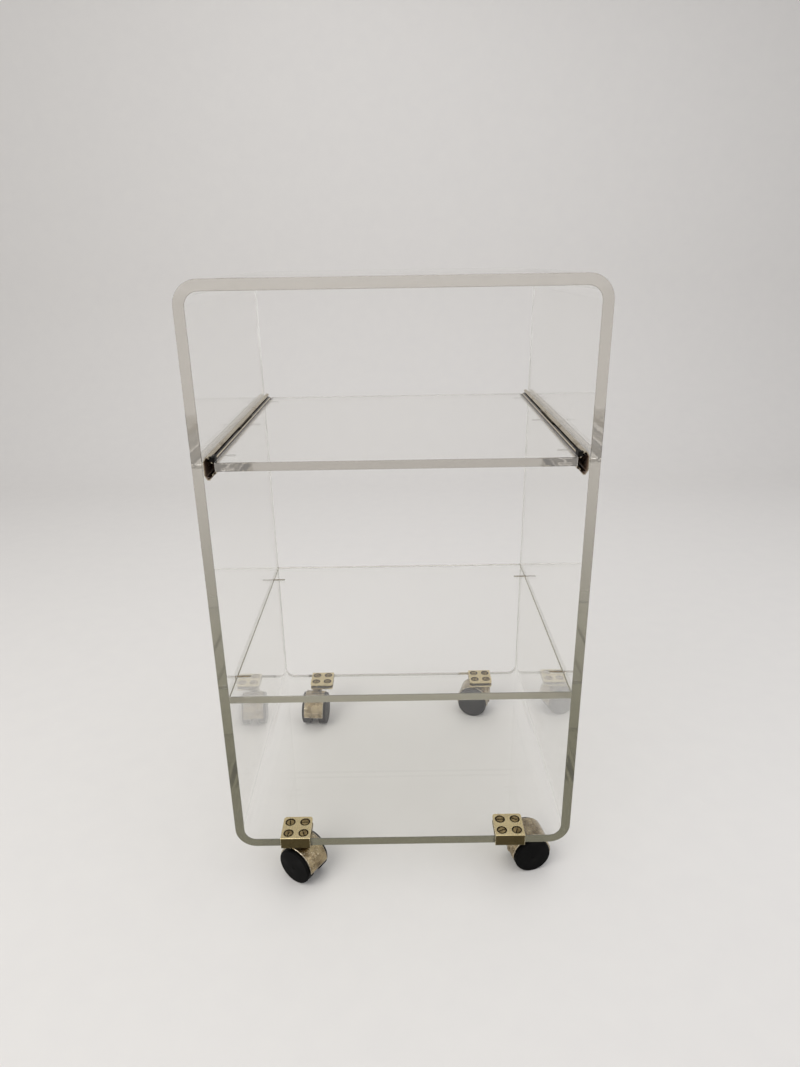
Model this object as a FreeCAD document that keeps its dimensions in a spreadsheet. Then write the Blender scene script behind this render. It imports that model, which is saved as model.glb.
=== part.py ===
"""Clear acrylic serving trolley with a pull-out shelf and four hooded twin-wheel casters.

Millimetres. The origin is on the floor under the middle of the trolley, +Z is up,
the open front faces -Y and +X is to the right of someone who stands in front of it.
"""
import FreeCAD, Part
import os
import re
import Sketcher

Vector = FreeCAD.Vector

# One acrylic sheet bent round into a loop that is open at the front and the rear
SHELL_SIZES = {
    "shell_width": 440,
    "shell_depth": 396,
    "shell_height": 712,
    "shell_wall": 12,
    "bend_radius": 15,
    "edge_break": 0.6,
}

# The fixed shelf and the shelf that pulls out; drops are from the top of the shell
SHELF_SIZES = {
    "shelf_wall": 10,
    "fixed_drop": 479.5,
    "pullout_drop": 186.5,
    "pullout_rear_gap": 4,
}

# Roll-formed ball slide: an outer channel, a runner and a ball cage between them
SLIDE_SIZES = {
    "slide_height": 26,
    "slide_depth": 13,
    "slide_metal": 1,
    "slide_sink": 2.5,
    "slide_front_inset": 3,
    "slide_rear_inset": 2,
    "race_offset": 4.4,
    "lip_rise": 0.3,
    "runner_web": 11.6,
    "runner_tip": 0.9,
    "stop_tab_height": 17,
    "stop_tab_gap": 0.5,
    "ball_diameter": 2.8,
    "ball_gap": 0.1,
    "ball_pitch": 6,
    "ball_count": 14,
    "cage_metal": 0.4,
    "cage_gap": 0.45,
    "cage_sink": 0.4,
    "cage_reach": 3.9,
    "cage_margin": 4,
    "cage_start": 160,
    "notch_share": 0.2,
    "buffer_length": 12,
    "buffer_gap": 0.5,
    "buffer_rise": 0.2,
    "buffer_bevel": 1,
}

# Screws through the side panels, and pan-head screws through the runners into the shelf
SCREW_SIZES = {
    "hole_gap": 0.1,
    "shelf_screw_shank": 4.5,
    "shelf_screw_head": 8.5,
    "shelf_screw_length": 30,
    "shelf_screw_point": 5,
    "shelf_screw_front": 49,
    "shelf_screw_rear": 50,
    "slide_screw_shank": 4.5,
    "slide_screw_head": 8.5,
    "slide_screw_point": 0.5,
    "slide_screw_front": 22,
    "slide_screw_rear": 45,
    "runner_screw_shank": 3.5,
    "runner_screw_head": 6.5,
    "runner_screw_rise": 1.2,
    "runner_screw_crown": 1.8,
    "crown_bevel_share": 0.3,
    "runner_screw_length": 16,
    "runner_screw_point": 3,
    "runner_screw_inset": 34,
    "slot_width": 1.1,
    "slot_depth": 1,
}

# Brass clip folded round the edge of the bottom panel, held by four slotted screws
CLIP_SIZES = {
    "clip_inset": 78,
    "clip_width": 39,
    "clip_depth": 40,
    "clip_metal": 2.5,
    "clip_corner": 4,
    "clip_bend": 1.2,
    "clip_screw_pitch": 20,
    "clip_screw_head": 12,
    "clip_screw_shank": 5,
    "clip_screw_sink": 0.3,
    "clip_ring": 0.4,
    "clip_slot_width": 1.5,
    "clip_slot_depth": 1.3,
}

# Twin-wheel caster under a brass hood
CASTER_SIZES = {
    "caster_outset": 9.5,
    "caster_inset": 24,
    "caster_width": 43.5,
    "caster_trail": 20,
    "wheel_diameter": 50,
    "wheel_round": 2,
    "wheel_dome": 0.8,
    "wheel_rim": 4,
    "wheel_face": 3.5,
    "wheel_hub": 15,
    "hood_gap": 0.5,
    "hood_metal": 1.6,
    "hood_width": 33,
    "hood_skirt": 1.5,
    "hood_edge": 0.5,
    "web_width": 13,
    "web_gap": 0.5,
    "hub_radius": 8,
    "neck_diameter": 17,
    "neck_rise": 1.2,
    "swivel_gap": 0.3,
    "washer_metal": 1.2,
    "washer_rim": 1,
    "axle_diameter": 6,
    "axle_end_gap": 0.3,
    "turning_gap": 0.05,
    "pintle_diameter": 8,
    "pintle_foot": 29,
    "pintle_end_gap": 1,
    "ring_rise": 2,
    "ring_metal": 1.2,
    "ring_bite": 0.8,
    "ring_proud": 0.6,
}

# Degrees that each caster's trail is turned from +X as the trolley stands
TURNS = {
    "turn_front_left": -34,
    "turn_front_right": 13,
    "turn_rear_left": -95,
    "turn_rear_right": 163,
}

# How far a cut runs on past the face that it leaves by
OVERRUN = {"cut_over": 2}

SIZES = {**SHELL_SIZES, **SHELF_SIZES, **SLIDE_SIZES, **SCREW_SIZES, **CLIP_SIZES,
         **CASTER_SIZES, **TURNS, **OVERRUN}

# The side (-1 left) and the end (-1 front) of the trolley that each caster stands at
CASTERS = {
    "front_left": (-1, -1),
    "front_right": (1, -1),
    "rear_left": (-1, 1),
    "rear_right": (1, 1),
}

# Degrees that the four screw slots of each clip are turned, in the order of CLIP_GRID
SLOT_TURNS = {
    "front_left": (76, -70, -80, 2),
    "front_right": (21, 72, 3, -28),
    "rear_left": (12, 40, -25, 64),
    "rear_right": (-15, 8, 52, 80),
}

# Heights above the floor, from the wheels up
WHEEL_RADIUS = "(wheel_diameter / 2)"
HOOD_INSIDE = f"({WHEEL_RADIUS} + hood_gap)"
HOOD_RADIUS = f"({HOOD_INSIDE} + hood_metal)"
NECK_TOP = f"({WHEEL_RADIUS} + {HOOD_RADIUS} + neck_rise)"
WASHER_BASE = f"({NECK_TOP} + swivel_gap)"
CLIP_BASE = f"({WASHER_BASE} + washer_metal)"
UNDERSIDE = f"({CLIP_BASE} + clip_metal)"
PANEL_TOP = f"({UNDERSIDE} + shell_wall)"
CLIP_TOP = f"({PANEL_TOP} + clip_metal)"
SHELL_TOP = f"({UNDERSIDE} + shell_height)"
FIXED_BASE = f"({SHELL_TOP} - fixed_drop - shelf_wall)"
FIXED_MIDDLE = f"({FIXED_BASE} + shelf_wall / 2)"
PULLOUT_BASE = f"({SHELL_TOP} - pullout_drop - shelf_wall)"
SLIDE_MIDDLE = f"({PULLOUT_BASE} + shelf_wall / 2 - slide_sink)"

# Places across and along the trolley
HALF_WIDTH = "(shell_width / 2)"
INNER_HALF = f"({HALF_WIDTH} - shell_wall)"
HALF_DEPTH = "(shell_depth / 2)"
CLIP_CENTRE = f"({HALF_WIDTH} - clip_inset)"
CASTER_CENTRE = f"({CLIP_CENTRE} + caster_outset)"
SHELF_HOLE_Y = f"(shelf_screw_front - {HALF_DEPTH})"
SHELF_HOLE_SPAN = "(shell_depth - shelf_screw_front - shelf_screw_rear)"
SLIDE_FRONT = f"(slide_front_inset - {HALF_DEPTH})"
SLIDE_REAR = f"({HALF_DEPTH} - slide_rear_inset)"
SLIDE_LENGTH = "(shell_depth - slide_front_inset - slide_rear_inset)"
SLIDE_HOLE_Y = f"(slide_screw_front - {HALF_DEPTH})"
SLIDE_HOLE_SPAN = "(shell_depth - slide_screw_front - slide_screw_rear)"
RUNNER_LENGTH = f"({SLIDE_LENGTH} - slide_metal - stop_tab_gap)"
RUNNER_HOLE_Y = f"({SLIDE_FRONT} + runner_screw_inset)"
RUNNER_HOLE_SPAN = f"({RUNNER_LENGTH} - 2 * runner_screw_inset)"
RUNNER_HOLE_COUNT = "3"
BALL_SPAN = "((ball_count - 1) * ball_pitch)"
CAGE_FRONT = f"({SLIDE_FRONT} + cage_start)"
CAGE_LENGTH = f"({BALL_SPAN} + 2 * cage_margin)"
FIRST_BALL_Y = f"({CAGE_FRONT} + cage_margin)"

# The slide's section: the balls roll in bevelled grooves, whose sides lean by 30 degrees
LEAN = "tan(30)"
BALL_RADIUS = "(ball_diameter / 2)"
RACE_INSIDE = f"({BALL_RADIUS} + ball_gap)"
RACE_OUTSIDE = f"({RACE_INSIDE} + slide_metal)"
RACE_HEIGHT = f"(slide_height / 2 - {RACE_OUTSIDE})"
OUTER_FLAT = f"({RACE_OUTSIDE} * {LEAN})"
INNER_FLAT = f"({RACE_INSIDE} * {LEAN})"
WEB_OUTSIDE_TOP = f"({RACE_HEIGHT} + {RACE_OUTSIDE} - (race_offset - {OUTER_FLAT}) / {LEAN})"
WEB_INSIDE_TOP = f"({RACE_HEIGHT} + {RACE_INSIDE} - (race_offset - {INNER_FLAT} - slide_metal) / {LEAN})"
LIP_OUTSIDE = f"(race_offset + {OUTER_FLAT} + ({RACE_OUTSIDE} - lip_rise) * {LEAN})"
LIP_INSIDE = f"(race_offset + {INNER_FLAT} + ({RACE_INSIDE} - lip_rise) * {LEAN})"
RUNNER_RACE = f"({RACE_HEIGHT} - {RACE_INSIDE})"
RUNNER_EDGE = f"(race_offset + {INNER_FLAT})"
RUNNER_FALL = f"(({RUNNER_RACE} - runner_web / 2) / (slide_depth - {RUNNER_EDGE}))"

# The clip's screws stand in a square about the middle of its plate
CLIP_MIDDLE = "(clip_depth / 2 - clip_metal)"
HALF_PITCH = "(clip_screw_pitch / 2)"
CLIP_NEAR = f"({CLIP_MIDDLE} - {HALF_PITCH})"
CLIP_FAR = f"({CLIP_MIDDLE} + {HALF_PITCH})"
CLIP_GRID = ((f"-{HALF_PITCH}", CLIP_NEAR), (HALF_PITCH, CLIP_NEAR),
             (f"-{HALF_PITCH}", CLIP_FAR), (HALF_PITCH, CLIP_FAR))
CLIP_SINK = "(clip_screw_head / 2 + clip_ring)"
PANEL_HOLE = f"({CLIP_SINK} - clip_metal + hole_gap)"
HOME = ("0", "0", "0")

doc = FreeCAD.newDocument("serving_trolley")
sheet = doc.addObject("Spreadsheet::Sheet", "Sizes")


def fill_sheet():
    """One row for each size: its name, and its value under an alias of that name."""
    for row, (name, value) in enumerate(SIZES.items(), start=1):
        sheet.set(f"A{row}", name)
        sheet.set(f"B{row}", str(value))
        sheet.setAlias(f"B{row}", name)
    doc.recompute()


def bound(text):
    """The expression with the name of each size pointed at its cell in the sheet."""
    return re.sub(r"[a-z]\w*", lambda word: "Sizes." + word[0] if word[0] in SIZES else word[0], text)


def value_of(item, text):
    """What an expression comes to with the sizes in the sheet."""
    return float(item.evalExpression(bound(text)))


def bind(item, **texts):
    for name, text in texts.items():
        item.setExpression(name, bound(text))


def put(item, prefix, spot):
    """Bind the three coordinates of a placement."""
    for axis, text in zip("xyz", spot):
        item.setExpression(f"{prefix}.Base.{axis}", bound(text))


def new_body(name, spot=HOME):
    body = doc.addObject("PartDesign::Body", name)
    body.AllowCompound = True
    body.Label = name
    put(body, "Placement", spot)
    return body


def datum(body, role):
    """An origin plane or axis of the body."""
    return next(item for item in body.Origin.OriginFeatures if item.Role == role)


def attach(body, item, role, offset):
    """Lay a sketch or a primitive on a plane of its own body, moved by an offset."""
    item.AttachmentSupport = [(datum(body, role), "")]
    item.MapMode = "FlatFace"
    put(item, "AttachmentOffset", offset)


def new_sketch(body, name, role, offset=HOME):
    sketch = body.newObject("Sketcher::SketchObject", name)
    attach(body, sketch, role, offset)
    return sketch


def pin(sketch, geometry, end, x, y):
    """Hold a point of the sketch at two expressions."""
    for kind, text in (("DistanceX", x), ("DistanceY", y)):
        row = sketch.addConstraint(Sketcher.Constraint(kind, geometry, end, value_of(sketch, text)))
        sketch.setExpression(f"Constraints[{row}]", bound(text))


def draw_loop(sketch, corners):
    """A closed outline of straight lines through the corners."""
    first = sketch.GeometryCount
    spots = [Vector(value_of(sketch, x), value_of(sketch, y), 0) for x, y in corners]
    following = [*range(1, len(spots)), 0]
    for here, there in enumerate(following):
        sketch.addGeometry(Part.LineSegment(spots[here], spots[there]), False)
    for here, there in enumerate(following):
        sketch.addConstraint(Sketcher.Constraint("Coincident", first + here, 2, first + there, 1))
        pin(sketch, first + here, 1, *corners[here])


def draw_circle(sketch, x, y, radius):
    centre = Vector(value_of(sketch, x), value_of(sketch, y), 0)
    size = value_of(sketch, radius)
    circle = sketch.addGeometry(Part.Circle(centre, Vector(0, 0, 1), size), False)
    pin(sketch, circle, 3, x, y)
    row = sketch.addConstraint(Sketcher.Constraint("Radius", circle, size))
    sketch.setExpression(f"Constraints[{row}]", bound(radius))


def extrude(body, kind, name, sketch, length, midplane=False, reverse=False):
    """A pad or a pocket of a sketch."""
    feature = body.newObject(f"PartDesign::{kind}", name)
    feature.Profile = sketch
    feature.Midplane = midplane
    feature.Reversed = reverse
    bind(feature, Length=length)
    return feature


def plate(body, name, role, corners, length, offset=HOME, midplane=False):
    """A pad of a straight-sided outline."""
    sketch = new_sketch(body, name + "_outline", role, offset)
    draw_loop(sketch, corners)
    return extrude(body, "Pad", name, sketch, length, midplane)


def turned(body, name, role, corners, offset=HOME):
    """An outline turned about the upright axis of its own sketch."""
    sketch = new_sketch(body, name + "_outline", role, offset)
    draw_loop(sketch, corners)
    feature = body.newObject("PartDesign::Revolution", name)
    feature.Profile = sketch
    feature.ReferenceAxis = (sketch, ["V_Axis"])
    feature.Angle = 360
    return feature


def primitive(body, kind, name, role, offset, **sizes):
    """An added or cut box, cylinder, cone or ball that stands on a plane of the body."""
    feature = body.newObject(f"PartDesign::{kind}", name)
    attach(body, feature, role, offset)
    bind(feature, **sizes)
    return feature


def repeat(body, name, original, axis, span, count="2"):
    """Evenly spaced copies of one feature along an axis of the body, over the given span."""
    feature = body.newObject("PartDesign::LinearPattern", name)
    feature.Originals = [original]
    feature.Direction = (datum(body, axis), [""])
    bind(feature, Length=span, Occurrences=count)
    body.Tip = feature
    return feature


def dress_edges(body, kind, name, base, wanted, size, value):
    """Fillet or chamfer the edges of a feature that a test on their boxes picks out."""
    doc.recompute()
    names = [f"Edge{row}" for row, edge in enumerate(base.Shape.Edges, start=1) if wanted(edge.BoundBox)]
    feature = body.newObject(f"PartDesign::{kind}", name)
    feature.Base = (base, names)
    bind(feature, **{size: value})
    return feature


def runs_along_x(box):
    return box.XLength > box.YLength + box.ZLength


def both_sides(name, make):
    """A left piece and its mirrored right piece."""
    left = make(f"{name}_left")
    right = doc.addObject("Part::Mirroring", f"{name}_right")
    right.Source = left
    right.Normal = Vector(1, 0, 0)
    right.Label = f"{name}_right"
    return [left, right]


def side_holes(body, name, y, z, span, head, shank):
    """A front and a rear countersunk hole through each side panel."""
    depth = f"({head} - {shank}) / 2"
    wide, narrow = f"{head} / 2 + hole_gap", f"{shank} / 2 + hole_gap"
    for end, place in (("front", y), ("rear", f"({y} + {span})")):
        primitive(body, "SubtractiveCylinder", f"{name}_left_{end}", "YZ_Plane",
                  (place, z, f"-{HALF_WIDTH}"), Radius=narrow, Height="shell_wall")
        primitive(body, "SubtractiveCone", f"{name}_left_sink_{end}", "YZ_Plane",
                  (place, z, f"-{HALF_WIDTH}"), Radius1=wide, Radius2=narrow, Height=depth)
        primitive(body, "SubtractiveCylinder", f"{name}_right_{end}", "YZ_Plane",
                  (place, z, INNER_HALF), Radius=narrow, Height="shell_wall")
        primitive(body, "SubtractiveCone", f"{name}_right_sink_{end}", "YZ_Plane",
                  (place, z, f"{HALF_WIDTH} - {depth}"), Radius1=narrow, Radius2=wide, Height=depth)


def make_shell():
    """Bent loop with broken edges, drilled for the shelf, the slides and the clips."""
    body = new_body("shell")
    section = new_sketch(body, "shell_section", "XZ_Plane")
    outer = (HALF_WIDTH, UNDERSIDE, SHELL_TOP)
    inner = (INNER_HALF, PANEL_TOP, f"({SHELL_TOP} - shell_wall)")
    for half, low, high in (outer, inner):
        draw_loop(section, [(f"-{half}", low), (half, low), (half, high), (f"-{half}", high)])
    loop = extrude(body, "Pad", "shell_loop", section, "shell_depth", midplane=True)
    middle_of_wall = value_of(body, f"{HALF_WIDTH} - shell_wall / 2")

    def is_long(box):
        return box.YLength > box.XLength + box.ZLength

    def is_inner_corner(box):
        return is_long(box) and abs(box.Center.x) < middle_of_wall

    def is_outer_corner(box):
        return is_long(box) and abs(box.Center.x) > middle_of_wall

    inside = dress_edges(body, "Fillet", "inner_bends", loop, is_inner_corner, "Radius", "bend_radius")
    bends = dress_edges(body, "Fillet", "outer_bends", inside, is_outer_corner, "Radius",
                        "bend_radius + shell_wall")
    dress_edges(body, "Chamfer", "broken_edges", bends, lambda box: not is_long(box), "Size", "edge_break")
    side_holes(body, "shelf_hole", SHELF_HOLE_Y, FIXED_MIDDLE, SHELF_HOLE_SPAN,
               "shelf_screw_head", "shelf_screw_shank")
    side_holes(body, "slide_hole", SLIDE_HOLE_Y, SLIDE_MIDDLE, SLIDE_HOLE_SPAN,
               "slide_screw_head", "slide_screw_shank")
    plan = new_sketch(body, "clip_holes_plan", "XY_Plane", ("0", "0", UNDERSIDE))
    for side, end in CASTERS.values():
        for x, y in CLIP_GRID:
            draw_circle(plan, f"{side} * {CLIP_CENTRE} + {x}", f"{end} * ({HALF_DEPTH} - ({y}))", PANEL_HOLE)
    body.Tip = extrude(body, "Pocket", "clip_holes", plan, "shell_wall", reverse=True)
    return [body]


def make_fixed_shelf():
    """Shelf that fills the loop, with a pilot hole in its side edges for each screw."""
    body = new_body("fixed_shelf")
    outline = [(f"-{INNER_HALF}", f"-{HALF_DEPTH}"), (INNER_HALF, f"-{HALF_DEPTH}"),
               (INNER_HALF, HALF_DEPTH), (f"-{INNER_HALF}", HALF_DEPTH)]
    panel = plate(body, "fixed_panel", "XY_Plane", outline, "shelf_wall", ("0", "0", FIXED_BASE))
    dress_edges(body, "Chamfer", "fixed_edges", panel, runs_along_x, "Size", "edge_break")
    depth = "(shelf_screw_length - shell_wall + hole_gap)"
    for side, start in (("left", f"-{INNER_HALF}"), ("right", f"{INNER_HALF} - {depth}")):
        pilot = primitive(body, "SubtractiveCylinder", f"pilot_{side}", "YZ_Plane",
                          (SHELF_HOLE_Y, FIXED_MIDDLE, start),
                          Radius="(shelf_screw_shank + hole_gap) / 2", Height=depth)
        repeat(body, f"pilots_{side}", pilot, "Y_Axis", SHELF_HOLE_SPAN)
    return [body]


def make_pullout_shelf():
    """Shelf that hangs between the two runners."""
    body = new_body("pullout_shelf")
    half = f"({INNER_HALF} - slide_depth)"
    rear = f"({HALF_DEPTH} - pullout_rear_gap)"
    outline = [(f"-{half}", f"-{HALF_DEPTH}"), (half, f"-{HALF_DEPTH}"), (half, rear), (f"-{half}", rear)]
    panel = plate(body, "pullout_panel", "XY_Plane", outline, "shelf_wall", ("0", "0", PULLOUT_BASE))
    dress_edges(body, "Chamfer", "pullout_edges", panel, runs_along_x, "Size", "edge_break")
    height = f"{SLIDE_MIDDLE} + runner_screw_rise"
    depth = "(runner_screw_length - slide_metal + hole_gap)"
    for side, start in (("left", f"-{half}"), ("right", f"{half} - {depth}")):
        pilot = primitive(body, "SubtractiveCylinder", f"pilot_{side}", "YZ_Plane",
                          (RUNNER_HOLE_Y, height, start),
                          Radius="(runner_screw_shank + hole_gap) / 2", Height=depth)
        repeat(body, f"pilots_{side}", pilot, "Y_Axis", RUNNER_HOLE_SPAN, RUNNER_HOLE_COUNT)
    return [body]


def slide_body(name):
    """A body whose X is measured from the left side panel and whose Z is from the slide's middle."""
    return new_body(name, (f"-{INNER_HALF}", "0", SLIDE_MIDDLE))


def both_halves(upper):
    """A closed section from its upper half and the same half mirrored below."""
    return upper + [(x, f"-{y}") for x, y in reversed(upper)]


def make_slide_channel(name):
    """Outer channel, screwed to the side panel, with a stop tab turned in at its rear end."""
    body = slide_body(name)
    upper = [("0", WEB_OUTSIDE_TOP), (f"(race_offset - {OUTER_FLAT})", "slide_height / 2"),
             (f"(race_offset + {OUTER_FLAT})", "slide_height / 2"),
             (LIP_OUTSIDE, f"({RACE_HEIGHT} + lip_rise)"),
             (LIP_INSIDE, f"({RACE_HEIGHT} + lip_rise)"),
             (f"(race_offset + {INNER_FLAT})", f"({RACE_HEIGHT} + {RACE_INSIDE})"),
             (f"(race_offset - {INNER_FLAT})", f"({RACE_HEIGHT} + {RACE_INSIDE})"),
             ("slide_metal", WEB_INSIDE_TOP)]
    start = ("0", "0", f"-{SLIDE_REAR}")
    plate(body, name + "_section", "XZ_Plane", both_halves(upper), SLIDE_LENGTH, start)
    tab = [("slide_metal / 2", "stop_tab_height / 2"), (LIP_OUTSIDE, "stop_tab_height / 2")]
    plate(body, name + "_tab", "XZ_Plane", both_halves(tab), "slide_metal", start)
    hole = primitive(body, "SubtractiveCylinder", name + "_hole", "YZ_Plane", (SLIDE_HOLE_Y, "0", "0"),
                     Radius="slide_screw_shank / 2 + hole_gap", Height="slide_metal")
    repeat(body, name + "_holes", hole, "Y_Axis", SLIDE_HOLE_SPAN)
    return body


def runner_top(x):
    """Height of the runner's sloping flange at a distance from the side panel."""
    return f"({RUNNER_RACE} - ({x} - {RUNNER_EDGE}) * {RUNNER_FALL})"


def make_runner(name):
    """Inner member, screwed to the edge of the shelf, with a floor for each row of balls."""
    body = slide_body(name)
    web_face = "(slide_depth - slide_metal)"
    tip = "(race_offset - runner_tip)"
    low = f"({RUNNER_RACE} - slide_metal)"
    upper = [("slide_depth", "runner_web / 2"), (RUNNER_EDGE, RUNNER_RACE), (tip, RUNNER_RACE),
             (tip, low), (f"({RUNNER_EDGE} - slide_metal / 2)", low),
             (web_face, f"({runner_top(web_face)} - slide_metal)")]
    plate(body, name + "_section", "XZ_Plane", both_halves(upper), RUNNER_LENGTH,
          ("0", "0", f"-({SLIDE_FRONT} + {RUNNER_LENGTH})"))
    hole = primitive(body, "SubtractiveCylinder", name + "_hole", "YZ_Plane",
                     (RUNNER_HOLE_Y, "runner_screw_rise", web_face),
                     Radius="runner_screw_shank / 2 + hole_gap", Height="slide_metal")
    repeat(body, name + "_holes", hole, "Y_Axis", RUNNER_HOLE_SPAN, RUNNER_HOLE_COUNT)
    return body


def make_ball_cage(name):
    """Folded strip with a pocket for every ball and a notch between the pockets."""
    body = slide_body(name)
    low = f"({RACE_HEIGHT} - cage_sink - cage_metal / 2)"
    high = f"({RACE_HEIGHT} - cage_sink + cage_metal / 2)"
    wall = "(slide_metal + cage_gap)"
    shoulder = f"({WEB_INSIDE_TOP} - cage_gap * {LEAN})"
    edge = "(race_offset + cage_reach)"
    upper = [(wall, shoulder), (f"({wall} + ({high} - {shoulder}) * {LEAN})", high),
             (edge, high), (edge, low),
             (f"({wall} + ({low} - {shoulder}) * {LEAN} + cage_metal / cos(30))", low),
             (f"({wall} + cage_metal)", f"({shoulder} - cage_metal * {LEAN})")]
    plate(body, name + "_strip", "XZ_Plane", both_halves(upper), CAGE_LENGTH,
          ("0", "0", f"-({CAGE_FRONT} + {CAGE_LENGTH})"))
    foot = f"-({high} + cage_metal)"
    height = f"2 * ({high} + cage_metal)"
    pocket = primitive(body, "SubtractiveCylinder", name + "_pocket", "XY_Plane",
                       ("race_offset", FIRST_BALL_Y, foot), Radius=RACE_INSIDE, Height=height)
    repeat(body, name + "_pockets", pocket, "Y_Axis", BALL_SPAN, "ball_count")
    notch = primitive(body, "SubtractiveCylinder", name + "_notch", "XY_Plane",
                      (edge, f"{FIRST_BALL_Y} + ball_pitch / 2", foot),
                      Radius="ball_pitch * notch_share", Height=height)
    repeat(body, name + "_notches", notch, "Y_Axis", f"{BALL_SPAN} - ball_pitch", "ball_count - 1")
    return body


def make_balls(name):
    """An upper and a lower row of steel balls."""
    body = slide_body(name)
    for row, height in (("upper", RACE_HEIGHT), ("lower", f"-{RACE_HEIGHT}")):
        ball = primitive(body, "AdditiveSphere", f"{name}_{row}", "XY_Plane",
                         ("race_offset", FIRST_BALL_Y, height), Radius=BALL_RADIUS)
        repeat(body, f"{name}_{row}_row", ball, "Y_Axis", BALL_SPAN, "ball_count")
    return body


def make_stop_buffer(name):
    """Plastic block on the front end of the runner."""
    body = slide_body(name)
    near = f"({LIP_OUTSIDE} + buffer_gap)"
    far = "(slide_depth - slide_metal / 2)"
    top = "(slide_height / 2 + buffer_rise)"
    outline = [(near, runner_top(near)), (near, f"({top} - buffer_bevel)"), (f"({near} + buffer_bevel)", top),
               (f"({far} - buffer_bevel)", top), (far, f"({top} - buffer_bevel)"), (far, runner_top(far))]
    plate(body, name + "_block", "XZ_Plane", outline, "buffer_length",
          ("0", "0", f"-({SLIDE_FRONT} + buffer_length)"))
    return body


def screw_row(name, spot, profile, head, crown, span, count):
    """Slotted screws driven towards +X, from the outline of one below the face that it sits on."""
    body = new_body(name)
    body.Placement = FreeCAD.Placement(Vector(), FreeCAD.Rotation(Vector(0, 1, 0), -90))
    put(body, "Placement", spot)
    screw = turned(body, name + "_turned", "XZ_Plane", profile)
    repeat(body, name + "_row", screw, "Y_Axis", span, count)
    slot = primitive(body, "SubtractiveBox", name + "_slot", "XY_Plane",
                     ("-slot_width / 2", f"-{head}", f"{crown} - slot_depth"),
                     Length="slot_width", Width=f"2 * {head}", Height="slot_depth + cut_over")
    repeat(body, name + "_slots", slot, "Y_Axis", span, count)
    return body


def countersunk(head, shank, length, point):
    """Half the outline of a flush screw with a 90 degree head."""
    return [("0", "0"), (f"{head} / 2", "0"), (f"{shank} / 2", f"-({head} - {shank}) / 2"),
            (f"{shank} / 2", f"-({length} - {point})"), ("0", f"-{length}")]


def make_shelf_screws(name):
    profile = countersunk("shelf_screw_head", "shelf_screw_shank", "shelf_screw_length", "shelf_screw_point")
    return screw_row(name, (f"-{HALF_WIDTH}", SHELF_HOLE_Y, FIXED_MIDDLE), profile, "shelf_screw_head", "0",
                     SHELF_HOLE_SPAN, "2")


def make_slide_screws(name):
    profile = countersunk("slide_screw_head", "slide_screw_shank", "(shell_wall + slide_metal - hole_gap)",
                          "slide_screw_point")
    return screw_row(name, (f"-{HALF_WIDTH}", SLIDE_HOLE_Y, SLIDE_MIDDLE), profile, "slide_screw_head", "0",
                     SLIDE_HOLE_SPAN, "2")


def make_runner_screws(name):
    """Pan heads inside the runner, with their shanks in the edge of the shelf."""
    head, shank, crown = "runner_screw_head / 2", "runner_screw_shank / 2", "runner_screw_crown"
    bevel = f"({crown} * crown_bevel_share)"
    profile = [("0", crown), (f"{head} - {bevel}", crown), (head, f"{crown} - {bevel}"), (head, "0"),
               (shank, "0"), (shank, "-(runner_screw_length - runner_screw_point)"),
               ("0", "-runner_screw_length")]
    face = f"slide_depth - slide_metal - {INNER_HALF}"
    return screw_row(name, (face, RUNNER_HOLE_Y, f"{SLIDE_MIDDLE} + runner_screw_rise"), profile,
                     "runner_screw_head", crown, RUNNER_HOLE_SPAN, RUNNER_HOLE_COUNT)


def clip_body(name, corner):
    """A body with its X from the middle of the clip and its Y inwards from the panel's edge."""
    side, end = CASTERS[corner]
    body = new_body(name)
    body.Placement = FreeCAD.Placement(Vector(), FreeCAD.Rotation(Vector(0, 0, 1), 90 + 90 * end))
    put(body, "Placement", (f"{side} * {CLIP_CENTRE}", f"{end} * {HALF_DEPTH}", "0"))
    return body


def make_clip(corner):
    """Brass strip folded in a U, drilled and countersunk for its screws."""
    name = f"clip_{corner}"
    body = clip_body(name, corner)
    inboard = "(clip_depth - clip_metal)"
    section = [("-clip_metal", CLIP_BASE), (inboard, CLIP_BASE), (inboard, UNDERSIDE), ("0", UNDERSIDE),
               ("0", PANEL_TOP), (inboard, PANEL_TOP), (inboard, CLIP_TOP), ("-clip_metal", CLIP_TOP)]
    strip = plate(body, f"{name}_strip", "YZ_Plane", section, "clip_width", midplane=True)
    far_half = value_of(body, CLIP_MIDDLE)
    rounded = dress_edges(body, "Fillet", f"{name}_corners", strip,
                          lambda box: box.ZLength > box.XLength + box.YLength and box.Center.y > far_half,
                          "Radius", "clip_corner")
    fold_front = value_of(body, "-clip_metal / 2")
    dress_edges(body, "Fillet", f"{name}_bends", rounded,
                lambda box: runs_along_x(box) and box.Center.y < fold_front, "Radius", "clip_bend")
    for row, (x, y) in enumerate(CLIP_GRID):
        primitive(body, "SubtractiveCylinder", f"{name}_hole_{row}", "XY_Plane", (x, y, CLIP_BASE),
                  Radius="clip_screw_shank / 2 + hole_gap", Height="2 * clip_metal + shell_wall")
        primitive(body, "SubtractiveCone", f"{name}_sink_{row}", "XY_Plane", (x, y, PANEL_TOP),
                  Radius1=f"{CLIP_SINK} - clip_metal", Radius2=CLIP_SINK, Height="clip_metal")
    return body


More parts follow.
